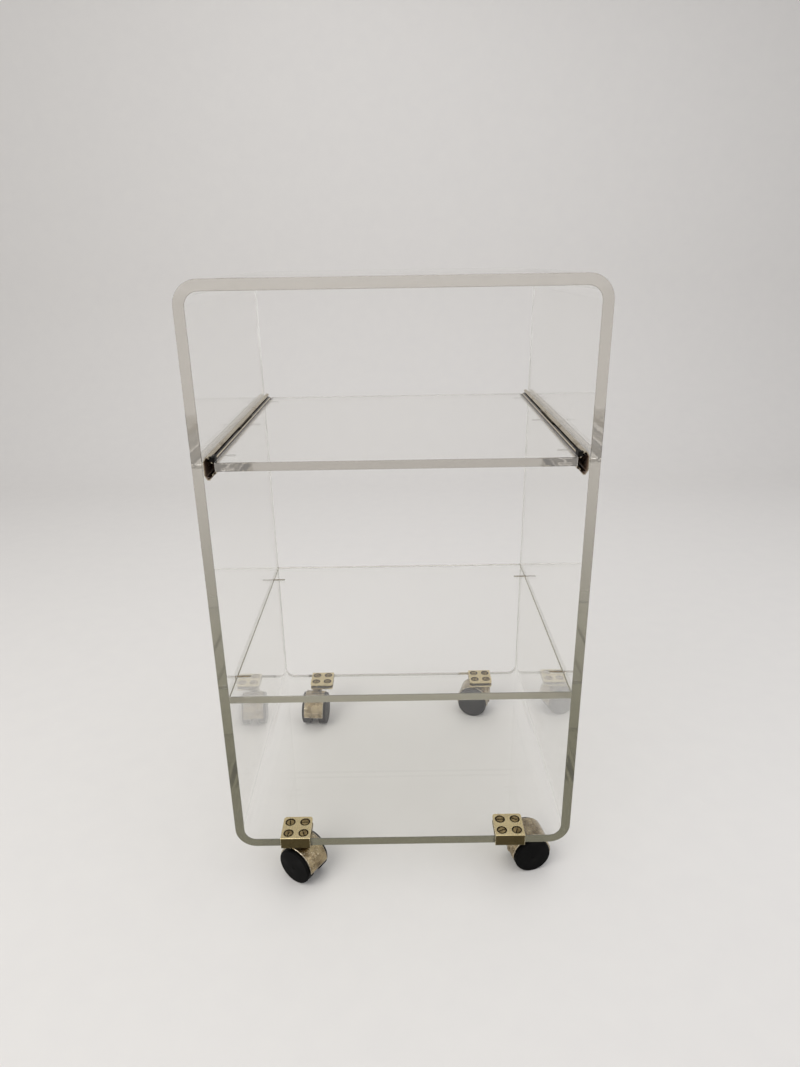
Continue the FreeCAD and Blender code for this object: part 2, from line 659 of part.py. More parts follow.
def make_clip_screws(corner):
    """Four slotted countersunk screws, each slot left at its own angle."""
    name = f"clip_screws_{corner}"
    body = clip_body(name, corner)
    head_top = f"({CLIP_TOP} - clip_screw_sink)"
    foot = f"-({head_top} - {CLIP_BASE})"
    head, shank = "clip_screw_head / 2", "clip_screw_shank / 2"
    profile = [("0", "0"), (head, "0"), (shank, "-(clip_screw_head - clip_screw_shank) / 2"), (shank, foot),
               ("0", foot)]
    x, y = CLIP_GRID[0]
    screw = turned(body, f"{name}_turned", "XZ_Plane", profile, (x, head_top, f"-({y})"))
    grid = repeat(body, f"{name}_grid", screw, "X_Axis", "clip_screw_pitch")
    grid.Direction2 = (datum(body, "Y_Axis"), [""])
    bind(grid, Length2="clip_screw_pitch", Occurrences2="2")
    slots = new_sketch(body, f"{name}_slots", "XY_Plane", ("0", "0", head_top))
    for (x, y), turn in zip(CLIP_GRID, SLOT_TURNS[corner]):
        along = (f"{CLIP_SINK} * cos({turn})", f"{CLIP_SINK} * sin({turn})")
        across = (f"clip_slot_width / 2 * sin({turn})", f"clip_slot_width / 2 * cos({turn})")
        signs = (("-", "+", "-"), ("+", "+", "-"), ("+", "-", "+"), ("-", "-", "+"))
        draw_loop(slots, [(f"{x} {a} {along[0]} {b} {across[0]}", f"{y} {a} {along[1]} {c} {across[1]}")
                          for a, b, c in signs])
    body.Tip = extrude(body, "Pocket", f"{name}_slot_cuts", slots, "clip_slot_depth")
    return body


def caster_body(name, corner):
    """A body that stands on the floor under the pintle, with its X along the trail."""
    side, end = CASTERS[corner]
    body = new_body(name)
    turn = SIZES[f"turn_{corner}"]
    body.Placement = FreeCAD.Placement(Vector(), FreeCAD.Rotation(Vector(0, 0, 1), turn))
    put(body, "Placement", (f"{side} * {CASTER_CENTRE}", f"{end} * ({HALF_DEPTH} - caster_inset)", "0"))
    body.setExpression("Placement.Rotation.Angle", bound(f"turn_{corner} * 1 deg"))
    return body


def make_pintle(corner):
    """Pin brazed to the underside of the clip, with a groove for its retaining ring."""
    body = caster_body(f"pintle_{corner}", corner)
    radius = "pintle_diameter / 2"
    low = "(pintle_foot + ring_rise)"
    high = f"({low} + ring_metal)"
    profile = [("0", "pintle_foot"), (radius, "pintle_foot"), (radius, low), (f"({radius} - ring_bite)", low),
               (f"({radius} - ring_bite)", high), (radius, high), (radius, CLIP_BASE), ("0", CLIP_BASE)]
    turned(body, f"pintle_{corner}_turned", "XZ_Plane", profile)
    return body


def ring_profile(inner, outer, low, high):
    return [(inner, low), (outer, low), (outer, high), (inner, high)]


def make_pintle_ring(corner):
    """Spring ring in the pintle's groove, which keeps the caster from dropping off."""
    body = caster_body(f"pintle_ring_{corner}", corner)
    low = "(pintle_foot + ring_rise)"
    profile = ring_profile("pintle_diameter / 2 - ring_bite", "pintle_diameter / 2 + ring_proud", low,
                           f"{low} + ring_metal")
    turned(body, f"pintle_ring_{corner}_turned", "XZ_Plane", profile)
    return body


def make_washer(corner):
    """Thrust washer between the clip and the neck of the hood."""
    body = caster_body(f"thrust_washer_{corner}", corner)
    profile = ring_profile("pintle_diameter / 2", "neck_diameter / 2 - washer_rim", WASHER_BASE, CLIP_BASE)
    turned(body, f"thrust_washer_{corner}_turned", "XZ_Plane", profile)
    return body


def across_axle(half):
    """Start of a cylinder along the axle that is centred on the wheels, from its half length."""
    return ("caster_trail", WHEEL_RADIUS, f"-({half})")


def make_hood(corner):
    """Half barrel over both wheels, with a central web, an axle boss and a neck round the pintle."""
    name = f"hood_{corner}"
    body = caster_body(name, corner)
    skirt = f"({WHEEL_RADIUS} - hood_skirt)"
    primitive(body, "AdditiveCylinder", f"{name}_barrel", "XZ_Plane", across_axle("hood_width / 2"),
              Radius=HOOD_RADIUS, Height="hood_width")
    primitive(body, "AdditiveCylinder", f"{name}_neck", "XY_Plane", ("0", "0", skirt),
              Radius="neck_diameter / 2", Height=f"{NECK_TOP} - {skirt}")
    depth = "((hood_width - web_width) / 2 + cut_over)"
    for label, start in (("near", "-(hood_width / 2 + cut_over)"), ("far", "web_width / 2")):
        primitive(body, "SubtractiveCylinder", f"{name}_chamber_{label}", "XZ_Plane",
                  ("caster_trail", WHEEL_RADIUS, start), Radius=HOOD_INSIDE, Height=depth)
    reach = f"({HOOD_RADIUS} + cut_over)"
    primitive(body, "SubtractiveBox", f"{name}_opening", "XY_Plane",
              (f"caster_trail - {reach}", "-hood_width", f"{skirt} - {reach}"),
              Length=f"2 * {reach}", Width="2 * hood_width", Height=reach)
    primitive(body, "AdditiveCylinder", f"{name}_boss", "XZ_Plane", across_axle("web_width / 2"),
              Radius="hub_radius", Height="web_width")
    primitive(body, "SubtractiveCylinder", f"{name}_axle_bore", "XZ_Plane", across_axle("web_width / 2"),
              Radius="axle_diameter / 2", Height="web_width")
    foot = "(pintle_foot - pintle_end_gap)"
    primitive(body, "SubtractiveCylinder", f"{name}_pintle_bore", "XY_Plane", ("0", "0", foot),
              Radius="pintle_diameter / 2 + turning_gap", Height=f"{NECK_TOP} - {foot}")
    recess = primitive(body, "SubtractiveCylinder", f"{name}_ring_recess", "XY_Plane",
                       ("0", "0", "pintle_foot + ring_rise - swivel_gap"),
                       Radius="pintle_diameter / 2 + ring_proud + swivel_gap",
                       Height="ring_metal + 2 * swivel_gap")
    rim = value_of(body, "hood_width / 2 - hood_edge")
    inside = value_of(body, "2 * (wheel_diameter / 2 + hood_gap) + hood_metal")

    def is_outer_rim(box):
        return abs(box.Center.y) > rim and box.YLength < rim and box.XLength > inside

    dress_edges(body, "Chamfer", f"{name}_rims", recess, is_outer_rim, "Size", "hood_edge")
    return body


def make_axle(corner):
    """Plain pin pressed through the boss of the hood."""
    body = caster_body(f"axle_{corner}", corner)
    half = "(caster_width / 2 - wheel_face - axle_end_gap)"
    primitive(body, "AdditiveCylinder", f"axle_{corner}_pin", "XZ_Plane", across_axle(half),
              Radius="axle_diameter / 2", Height=f"2 * {half}")
    return body


def make_wheel(label, hand):
    """Cupped wheel with a rounded tread, its hollow towards the web of the hood."""
    def make(corner):
        name = f"wheel_{label}_{corner}"
        body = caster_body(name, corner)
        bore = "(axle_diameter / 2 + turning_gap)"
        hub = "(wheel_hub / 2)"
        rim = f"({WHEEL_RADIUS} - wheel_rim)"
        start = "(web_width / 2 + web_gap)"
        back = "(caster_width / 2 - wheel_face)"
        shoulder = "(caster_width / 2 - wheel_dome)"
        cut = "wheel_round * (1 - cos(45))"
        profile = [(bore, start), (hub, start), (hub, back), (rim, back), (rim, start),
                   (f"({WHEEL_RADIUS} - wheel_round / 2)", start),
                   (WHEEL_RADIUS, f"({start} + wheel_round / 2)"),
                   (WHEEL_RADIUS, f"({shoulder} - wheel_round)"),
                   (f"({WHEEL_RADIUS} - {cut})", f"({shoulder} - {cut})"),
                   (f"({WHEEL_RADIUS} - wheel_round)", shoulder), ("0", "(caster_width / 2)"), ("0", back),
                   (bore, back)]
        profile = [(radius, f"{hand} * {across}") for radius, across in profile]
        turned(body, f"{name}_turned", "XY_Plane", profile, ("caster_trail", "0", WHEEL_RADIUS))
        return body
    return make


def make_casters():
    """Every piece of the four casters and of the clips that hold them."""
    makers = [make_clip, make_clip_screws, make_pintle, make_washer, make_pintle_ring, make_hood, make_axle,
              make_wheel("a", 1), make_wheel("b", -1)]
    return [make(corner) for corner in CASTERS for make in makers]


def make_slides():
    """Both ball slides with the screws that hold them."""
    makers = {"slide_channel": make_slide_channel, "slide_runner": make_runner, "ball_cage": make_ball_cage,
              "slide_balls": make_balls, "stop_buffer": make_stop_buffer, "shelf_screws": make_shelf_screws,
              "slide_screws": make_slide_screws, "runner_screws": make_runner_screws}
    return [piece for name, make in makers.items() for piece in both_sides(name, make)]


def check(pieces):
    """Stop if any feature failed or any piece has no sound shape."""
    failed = [item.Name for item in doc.Objects if {"Invalid", "Error"} & set(item.State)]
    unsound = [piece.Label for piece in pieces if piece.Shape.isNull() or not piece.Shape.isValid()]
    if failed or unsound:
        raise RuntimeError(f"failed features {failed}, unsound pieces {unsound}")


def export(pieces):
    os.makedirs("parts", exist_ok=True)
    for piece in pieces:
        piece.Shape.exportStep(f"parts/{piece.Label}.step")
        solids = len(piece.Shape.Solids)
        print(f"{piece.Label:28} {solids:3} solids {piece.Shape.Volume / 1000:10.3f} cm3")


fill_sheet()
parts = make_shell() + make_fixed_shelf() + make_pullout_shelf() + make_slides() + make_casters()
doc.recompute()
check(parts)
export(parts)
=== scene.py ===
"""Looks for a clear acrylic serving trolley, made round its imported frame. Metres, +Z up."""
from math import radians

import bpy
from mathutils import Matrix, Vector


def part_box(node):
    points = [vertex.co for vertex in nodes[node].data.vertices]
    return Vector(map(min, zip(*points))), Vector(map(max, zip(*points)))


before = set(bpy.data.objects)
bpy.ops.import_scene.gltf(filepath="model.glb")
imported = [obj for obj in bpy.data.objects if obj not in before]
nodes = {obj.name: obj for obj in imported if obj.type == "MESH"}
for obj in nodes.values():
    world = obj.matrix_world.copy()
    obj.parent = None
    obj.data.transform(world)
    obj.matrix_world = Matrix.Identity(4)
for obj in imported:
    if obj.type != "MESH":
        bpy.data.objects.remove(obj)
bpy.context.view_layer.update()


# The camera stands in front of the trolley, a little above its top, and looks down on it.
# It was fitted to the edges of the loop, so it is turned and tipped by fractions of a degree.
eye = Vector((0.0042, -0.9532, 0.7855))
pitch = radians(20.80)
turn = radians(0.10)
tip = radians(-0.93)
bpy.ops.object.camera_add()
camera = bpy.context.object
camera.name = "photo_camera"
camera.matrix_world = (Matrix.Translation(eye) @ Matrix.Rotation(turn, 4, "Z")
                       @ Matrix.Rotation(radians(90) - pitch, 4, "X") @ Matrix.Rotation(tip, 4, "Z"))
camera.data.sensor_width = 36
camera.data.lens = 24.507
camera.data.clip_start = 0.05
scene = bpy.context.scene
scene.camera = camera
scene.view_settings.view_transform = "Standard"


# The floor runs back and turns up into a wall in one sweep, like painted studio card.
# Three large softboxes and a pale room light it, as plainly as an overcast window does.
def linear(code):
    """The linear colour of an sRGB hex value."""
    parts = [int(code[start:start + 2], 16) / 255 for start in (1, 3, 5)]
    return [*(p / 12.92 if p <= 0.04045 else ((p + 0.055) / 1.055) ** 2.4 for p in parts), 1]


def add(tree, kind, inputs=(), **settings):
    """A node with its settings, and with its inputs set to a value or linked to a socket."""
    node = tree.nodes.new(kind)
    for name, value in settings.items():
        setattr(node, name, value)
    for name, value in dict(inputs).items():
        if isinstance(value, bpy.types.NodeSocket):
            tree.links.new(value, node.inputs[name])
        else:
            node.inputs[name].default_value = value
    return node


def begin(name):
    """A new material, its tree, its shader and the point shown, in millimetres."""
    material = bpy.data.materials.new(name)
    material.use_nodes = True
    tree = material.node_tree
    shader = tree.nodes["Principled BSDF"]
    place = add(tree, "ShaderNodeTexCoord").outputs["Object"]
    grid = add(tree, "ShaderNodeMapping", {"Vector": place, "Scale": (1000, 1000, 1000)})
    return material, tree, shader, grid.outputs["Vector"]


def painted_card():
    """Rolled matt emulsion, which looks soft and even, with no shine and the faintest mottle."""
    material, tree, shader, grid = begin("rolled matt emulsion on card")
    # A roller leaves a mottle of a few millimetres, and 40 mm is as fine as it shows
    mottle = add(tree, "ShaderNodeTexNoise", {"Vector": grid, "Scale": 1 / 40, "Detail": 3})
    coat = add(tree, "ShaderNodeMix", {"Factor": mottle.outputs["Fac"], "A": linear("#DEDCDB"),
                                       "B": linear("#E2E0DE")}, data_type="RGBA")
    tree.links.new(coat.outputs["Result"], shader.inputs["Base Color"])
    shader.inputs["Roughness"].default_value = 0.9
    shader.inputs["Specular IOR Level"].default_value = 0.2
    return material


def lamp(name, place, target, width, energy, tint):
    """A square softbox that faces a point, and that isn't seen through clear pieces."""
    bpy.ops.object.light_add(type="AREA", location=place)
    light = bpy.context.object
    light.name = name
    aim = Vector(target) - Vector(place)
    light.rotation_euler = aim.to_track_quat("-Z", "Y").to_euler()
    light.data.size = width
    light.data.energy = energy
    light.data.color = linear(tint)[:3]
    light.visible_transmission = False


card_width = 7
card_middle = -1.2
wall_height = 3.2
sweep_radius = 0.7
bpy.ops.object.select_all(action="DESELECT")
bpy.ops.mesh.primitive_plane_add(size=card_width, location=(0, card_middle, 0))
card = bpy.context.object
card.name = "studio_card"
bpy.ops.object.mode_set(mode="EDIT")
bpy.ops.mesh.select_mode(type="EDGE")
bpy.ops.mesh.select_all(action="DESELECT")
bpy.ops.object.mode_set(mode="OBJECT")
for edge in card.data.edges:
    edge.select = all(card.data.vertices[end].co.y > 0 for end in edge.vertices)
bpy.ops.object.mode_set(mode="EDIT")
bpy.ops.mesh.extrude_region_move(TRANSFORM_OT_translate={"value": (0, 0, wall_height)})
bpy.ops.mesh.select_all(action="DESELECT")
bpy.ops.object.mode_set(mode="OBJECT")
for edge in card.data.edges:
    ends = [card.data.vertices[end].co for end in edge.vertices]
    edge.select = all(end.y > 0 and end.z < wall_height / 2 for end in ends)
bpy.ops.object.mode_set(mode="EDIT")
bpy.ops.mesh.bevel(offset=sweep_radius, segments=14)
bpy.ops.object.mode_set(mode="OBJECT")
bpy.ops.object.shade_smooth()
card.data.materials.append(painted_card())

lamp("window_softbox", place=(-1.5, -1.5, 2.3), target=(0, 0, 0.4), width=2.0, energy=42,
     tint="#FFFDF8")
lamp("fill_softbox", place=(1.9, -1.1, 1.5), target=(0, 0, 0.4), width=2.4, energy=16,
     tint="#F6F8FF")
lamp("ceiling_softbox", place=(0.2, 0.6, 2.5), target=(0, 0, 0.3), width=2.2, energy=18,
     tint="#FFFFFF")

# The room shows at full strength to the eye, through clear pieces and in metal, but it lights
# the trolley at about half of that
room_light = 0.55
room = bpy.data.worlds.new("pale room")
scene.world = room
room.use_nodes = True
sky = room.node_tree
behind = sky.nodes["Background"]
behind.inputs["Color"].default_value = linear("#E6E5E4")
path = add(sky, "ShaderNodeLightPath")
seen = add(sky, "ShaderNodeMath", {0: path.outputs["Is Camera Ray"],
                                   1: path.outputs["Is Transmission Ray"]},
           operation="ADD", use_clamp=True)
seen = add(sky, "ShaderNodeMath", {0: seen.outputs[0], 1: path.outputs["Is Glossy Ray"]},
           operation="ADD", use_clamp=True)
direct = add(sky, "ShaderNodeMath", {0: path.outputs["Diffuse Depth"], 1: 0.5},
             operation="LESS_THAN")
seen = add(sky, "ShaderNodeMath", {0: seen.outputs[0], 1: direct.outputs[0]}, operation="MULTIPLY")
level = add(sky, "ShaderNodeMapRange", {"Value": seen.outputs[0], "To Min": room_light, "To Max": 1})
sky.links.new(level.outputs["Result"], behind.inputs["Strength"])


def dress(material, *names):
    """Give CAD nodes their material."""
    for name in names:
        for slot in nodes[name].material_slots:
            slot.material = material


def cast_acrylic(name, edge_axes, middle, upper, lower):
    """Clear sheet with hazy faces, and with scraped edges where it faces along the edge axes."""
    material, tree, shader, grid = begin(name)
    place = add(tree, "ShaderNodeTexCoord").outputs["Object"]
    surface = add(tree, "ShaderNodeNewGeometry")
    normal = surface.outputs["True Normal"]
    # This is 0 on a face and 1 on an edge, and it lies between them on a broken corner
    facing = add(tree, "ShaderNodeVectorMath", {0: normal, 1: edge_axes}, operation="MULTIPLY")
    along = add(tree, "ShaderNodeVectorMath", {0: facing.outputs["Vector"]}, operation="LENGTH")
    edge = add(tree, "ShaderNodeMapRange", {"Value": along.outputs["Value"], "From Min": 0.6,
                                            "From Max": 0.8}).outputs["Result"]
    # A scraper leaves streaks finer than a millimetre, and these are 40 mm long and 4 mm wide,
    # which is as fine as they show
    streak_grid = add(tree, "ShaderNodeMapping", {"Vector": grid, "Rotation": (0, radians(20), 0),
                                                  "Scale": (1 / 40, 1, 1 / 4)})
    streaks = add(tree, "ShaderNodeTexNoise", {"Vector": streak_grid.outputs["Vector"], "Scale": 1,
                                               "Detail": 4, "Roughness": 0.6}).outputs["Fac"]
    edge_rough = add(tree, "ShaderNodeMapRange", {"Value": streaks, "From Min": 0.4,
                                                  "From Max": 0.7, "To Min": 0.02, "To Max": 0.1})
    # Wiping leaves a haze on the faces, in patches about 70 mm wide
    haze = add(tree, "ShaderNodeTexNoise", {"Vector": grid, "Scale": 1 / 70, "Detail": 4})
    face_rough = add(tree, "ShaderNodeMapRange", {"Value": haze.outputs["Fac"], "From Min": 0.45,
                                                  "From Max": 0.75, "To Max": 0.015})
    rough = add(tree, "ShaderNodeMix", {"Factor": edge, "A": face_rough.outputs["Result"],
                                        "B": edge_rough.outputs["Result"]})
    tree.links.new(rough.outputs["Result"], shader.inputs["Roughness"])
    # The scraped edges scatter part of their light. Over a quarter of a metre above and below
    # the middle they turn greyer and more olive towards the floor: painted shade of the dark floor
    fade = 0.25
    height = add(tree, "ShaderNodeSeparateXYZ", {"Vector": place})
    low = add(tree, "ShaderNodeMapRange", {"Value": height.outputs["Z"],
                                           "From Min": middle.z + fade, "From Max": middle.z - fade},
              interpolation_type="SMOOTHSTEP").outputs["Result"]
    edge_tone_with_floor_shade = add(tree, "ShaderNodeMix", {"Factor": low, "A": linear(upper), "B": linear(lower)},
               data_type="RGBA")
    tone = add(tree, "ShaderNodeMix", {"Factor": edge, "A": linear("#FEFEFD"),
                                       "B": edge_tone_with_floor_shade.outputs["Result"]}, data_type="RGBA")
    clear = add(tree, "ShaderNodeMapRange", {"Value": edge, "To Min": 1, "To Max": 0.65})
    tree.links.new(clear.outputs["Result"], shader.inputs["Transmission Weight"])
    # Dust and polish stay in the broken corners between an edge and the faces
    broken = add(tree, "ShaderNodeMath", {0: edge, 1: 0.5}, operation="PINGPONG")
    dust = add(tree, "ShaderNodeMapRange", {"Value": broken.outputs[0], "From Max": 0.4,
                                            "To Max": 0.35})
    tone = add(tree, "ShaderNodeMix", {"Factor": dust.outputs["Result"],
                                       "A": tone.outputs["Result"], "B": linear("#7C7970")},
               data_type="RGBA")
    tree.links.new(tone.outputs["Result"], shader.inputs["Base Color"])
    lift = add(tree, "ShaderNodeMath", {0: streaks, 1: edge}, operation="MULTIPLY")
    bump = add(tree, "ShaderNodeBump", {"Height": lift.outputs[0], "Strength": 0.08,
                                        "Distance": 0.001})
    tree.links.new(bump.outputs["Normal"], shader.inputs["Normal"])
    shader.inputs["IOR"].default_value = 1.49
    # Light that runs along inside the sheet leaves it after its third reflection there, by a face
    # that looks outwards, or after its fourth by any face, as it would at the far edge
    path = add(tree, "ShaderNodeLightPath")
    reflections = path.outputs["Glossy Depth"]
    arm = add(tree, "ShaderNodeVectorMath", {0: place, 1: tuple(middle)}, operation="SUBTRACT")
    outward = add(tree, "ShaderNodeVectorMath", {0: arm.outputs["Vector"], 1: normal},
                  operation="DOT_PRODUCT")
    outer = add(tree, "ShaderNodeMath", {0: outward.outputs["Value"], 1: 0},
                operation="GREATER_THAN")
    third = add(tree, "ShaderNodeMath", {0: reflections, 1: 2.5}, operation="GREATER_THAN")
    third = add(tree, "ShaderNodeMath", {0: third.outputs[0], 1: outer.outputs[0]},
                operation="MULTIPLY")
    fourth = add(tree, "ShaderNodeMath", {0: reflections, 1: 3.5}, operation="GREATER_THAN")
    trapped = add(tree, "ShaderNodeMath", {0: third.outputs[0], 1: fourth.outputs[0]},
                  operation="MAXIMUM")
    # Its long way gives it the tint of aged sheet, and painted shade of the dark floor makes it
    # darker and more olive towards the floor
    leaving = add(tree, "ShaderNodeMath", {0: trapped.outputs[0], 1: surface.outputs["Backfacing"]},
                  operation="MULTIPLY")
    aged_tint_and_floor_shade = add(tree, "ShaderNodeMix", {"Factor": low, "A": linear("#E0DDD7"),
                                       "B": linear("#A5A390")}, data_type="RGBA")
    tint = add(tree, "ShaderNodeMix", {"Factor": leaving.outputs[0], "A": linear("#FAFAF9"),
                                       "B": aged_tint_and_floor_shade.outputs["Result"]}, data_type="RGBA")
    # What lights other things comes straight through the sheet
    lighting = add(tree, "ShaderNodeMath", {0: path.outputs["Is Shadow Ray"],
                                            1: path.outputs["Diffuse Depth"]},
                   operation="ADD", use_clamp=True)
    passing = add(tree, "ShaderNodeMath", {0: lighting.outputs[0], 1: trapped.outputs[0]},
                  operation="MAXIMUM")
    through = add(tree, "ShaderNodeBsdfTransparent", {"Color": tint.outputs["Result"]})
    mix = add(tree, "ShaderNodeMixShader", {0: passing.outputs[0], 1: shader.outputs["BSDF"],
                                            2: through.outputs["BSDF"]})
    tree.links.new(mix.outputs["Shader"], tree.nodes["Material Output"].inputs["Surface"])
    return material


shell_low, shell_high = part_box("shell")
shell_middle = (shell_low + shell_high) / 2
# The loop's faces all but vanish, and its edges draw it as a pale line, with painted shade of
# the dark floor making it olive near the floor
bent_acrylic = cast_acrylic("bent cast acrylic", edge_axes=(0, 1, 0), middle=shell_middle,
                            upper="#D8D4CE", lower="#8C8A77")
# The shelves are scraped on all four sides, and their thinner edges get less painted floor
# shade, so they stay paler near the floor
shelf_acrylic = cast_acrylic("cast acrylic shelf", edge_axes=(1, 1, 0), middle=shell_middle,
                             upper="#CFCBC6", lower="#BCB9A8")
dress(bent_acrylic, "shell")
dress(shelf_acrylic, "fixed_shelf", "pullout_shelf")


# Each ball slide is roll-formed steel with a thin brass plate that has dulled to bronze.
# The rollers leave fine lines along it, and old grease darkens its inside.
sides = ("left", "right")


def worked_metal(name, bright, dull, patch, share, smooth, rough, grain, depth):
    """A metal with dull patches, sized in mm, and tool lines, counted per mm along each axis."""
    material, tree, shader, grid = begin(name)
    cloud = add(tree, "ShaderNodeTexNoise", {"Vector": grid, "Scale": 1 / patch, "Detail": 6,
                                             "Roughness": 0.65})
    worn = add(tree, "ShaderNodeMapRange", {"Value": cloud.outputs["Fac"], "From Min": share,
                                            "From Max": share + 0.25})
    # Tools leave lines under a tenth of a millimetre apart, too fine to show, so the grids are
    # all coarser, from a third of a millimetre to one
    line_grid = add(tree, "ShaderNodeMapping", {"Vector": grid, "Scale": grain})
    lines = add(tree, "ShaderNodeTexNoise", {"Vector": line_grid.outputs["Vector"], "Scale": 1,
                                             "Detail": 5, "Roughness": 0.7}).outputs["Fac"]
    streak = add(tree, "ShaderNodeMapRange", {"Value": lines, "From Min": 0.35, "From Max": 0.65,
                                              "To Min": -0.2, "To Max": 0.2})
    amount = add(tree, "ShaderNodeMath", {0: worn.outputs["Result"], 1: streak.outputs["Result"]},
                 operation="ADD", use_clamp=True).outputs[0]
    colour = add(tree, "ShaderNodeMix", {"Factor": amount, "A": linear(bright), "B": linear(dull)},
                 data_type="RGBA").outputs["Result"]
    tree.links.new(colour, shader.inputs["Base Color"])
    gloss = add(tree, "ShaderNodeMapRange", {"Value": amount, "To Min": smooth, "To Max": rough})
    tree.links.new(gloss.outputs["Result"], shader.inputs["Roughness"])
    bump = add(tree, "ShaderNodeBump", {"Height": lines, "Strength": depth, "Distance": 0.0003})
    tree.links.new(bump.outputs["Normal"], shader.inputs["Normal"])
    shader.inputs["Metallic"].default_value = 1
    return material, tree, shader, colour


def overlay(tree, shader, colour, amount, code):
    """Lay dirt, patina or wear of a colour over what a shader shows, where an amount says."""
    over = add(tree, "ShaderNodeMix", {"Factor": amount, "A": colour, "B": linear(code)},
               data_type="RGBA").outputs["Result"]
    tree.links.new(over, shader.inputs["Base Color"])
    return over


def greasy_plate(name, middle):
    """Brass plate, brown where it faces its slide's middle, and how far inboard a point lies."""
    metal, tree, shader, colour = worked_metal(name, bright="#BAB09B", dull="#8F836D", patch=25,
                                               share=0.50, smooth=0.22, rough=0.38,
                                               grain=(1.5, 1 / 60, 1.5), depth=0.08)
    place = add(tree, "ShaderNodeTexCoord").outputs["Object"]
    arm = add(tree, "ShaderNodeVectorMath", {0: place, 1: tuple(middle)}, operation="SUBTRACT")
    arm = add(tree, "ShaderNodeVectorMath", {0: arm.outputs["Vector"], 1: (1, 0, 1)},
              operation="MULTIPLY").outputs["Vector"]
    normal = add(tree, "ShaderNodeNewGeometry").outputs["True Normal"]
    # This is below nought, in metres, on a face that is turned towards the slide's middle
    outward = add(tree, "ShaderNodeVectorMath", {0: arm, 1: normal}, operation="DOT_PRODUCT")
    inside = add(tree, "ShaderNodeMapRange", {"Value": outward.outputs["Value"],
                                              "From Min": -0.0002, "From Max": -0.0006})
    colour = overlay(tree, shader, colour, inside.outputs["Result"], "#947A69")
    bare = add(tree, "ShaderNodeMapRange", {"Value": inside.outputs["Result"], "To Min": 1,
                                            "To Max": 0.2})
    tree.links.new(bare.outputs["Result"], shader.inputs["Metallic"])
    inboard = -1 if middle.x > 0 else 1
    across = add(tree, "ShaderNodeSeparateXYZ", {"Vector": arm})
    reach = add(tree, "ShaderNodeMath", {0: across.outputs["X"], 1: inboard}, operation="MULTIPLY")
    return metal, tree, shader, colour, reach.outputs[0]


# Nearer than these to its slide's middle a runner is brown, then has a painted highlight,
# then is black with grease and painted shadow
flange = 0.0091
highlight_bend = 0.0064
greased_shadow_groove = 0.0053
# A face this near to the side of a channel's box is the channel's back
tolerance = 0.0001
for side in sides:
    low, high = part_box(f"slide_channel_{side}")
    middle = (low + high) / 2
    # The channel looks satin and pale bronze outside, and dull brown inside
    channel_steel, tree, shader, colour, reach = greasy_plate(
        f"brass-plated rolled channel {side}", middle)
    # Light that runs along inside the side panel turns back before it meets the channel's back
    back = add(tree, "ShaderNodeMath", {0: reach, 1: tolerance - (high.x - low.x) / 2},
               operation="LESS_THAN")
    path = add(tree, "ShaderNodeLightPath")
    inner = add(tree, "ShaderNodeMath", {0: path.outputs["Glossy Depth"], 1: 0.5},
                operation="GREATER_THAN")
    turned = add(tree, "ShaderNodeMath", {0: back.outputs[0], 1: inner.outputs[0]},
                 operation="MULTIPLY")
    overlay(tree, shader, colour, turned.outputs[0], "#FFFFFF")
    matt = shader.inputs["Roughness"].links[0].from_socket
    gloss = add(tree, "ShaderNodeMix", {"Factor": turned.outputs[0], "A": matt, "B": 0.0})
    tree.links.new(gloss.outputs["Result"], shader.inputs["Roughness"])
    # The runner looks brown, with a painted highlight along its bend, and black with grease and
    # painted shadow from there to the balls
    runner_steel, tree, shader, colour, reach = greasy_plate(
        f"brass-plated rolled runner {side}", middle)
    for limit, shade in ((flange, "#3A2C20"), (highlight_bend, "#D8CDB4"), (greased_shadow_groove, "#18110C")):
        nearer = add(tree, "ShaderNodeMath", {0: reach, 1: limit}, operation="LESS_THAN")
        colour = overlay(tree, shader, colour, nearer.outputs[0], shade)
    dress(channel_steel, f"slide_channel_{side}")
    dress(runner_steel, f"slide_runner_{side}")
# The cages look dull and brown-grey between the members
cage_steel = worked_metal("zinc-plated strip", bright="#6E6452", dull="#3A3026", patch=8, share=0.4,
                          smooth=0.35, rough=0.5, grain=(1, 1 / 15, 1), depth=0.1)[0]
# The balls and the screws' pan heads catch bright points of light, filmed over with oil
ball_steel = worked_metal("hardened bearing steel", bright="#D2D0CC", dull="#8F8A80", patch=6,
                          share=0.5, smooth=0.08, rough=0.25, grain=(1, 1, 1), depth=0.05)[0]
for side in sides:
    dress(cage_steel, f"ball_cage_{side}")
    dress(ball_steel, f"slide_balls_{side}", f"runner_screws_{side}")


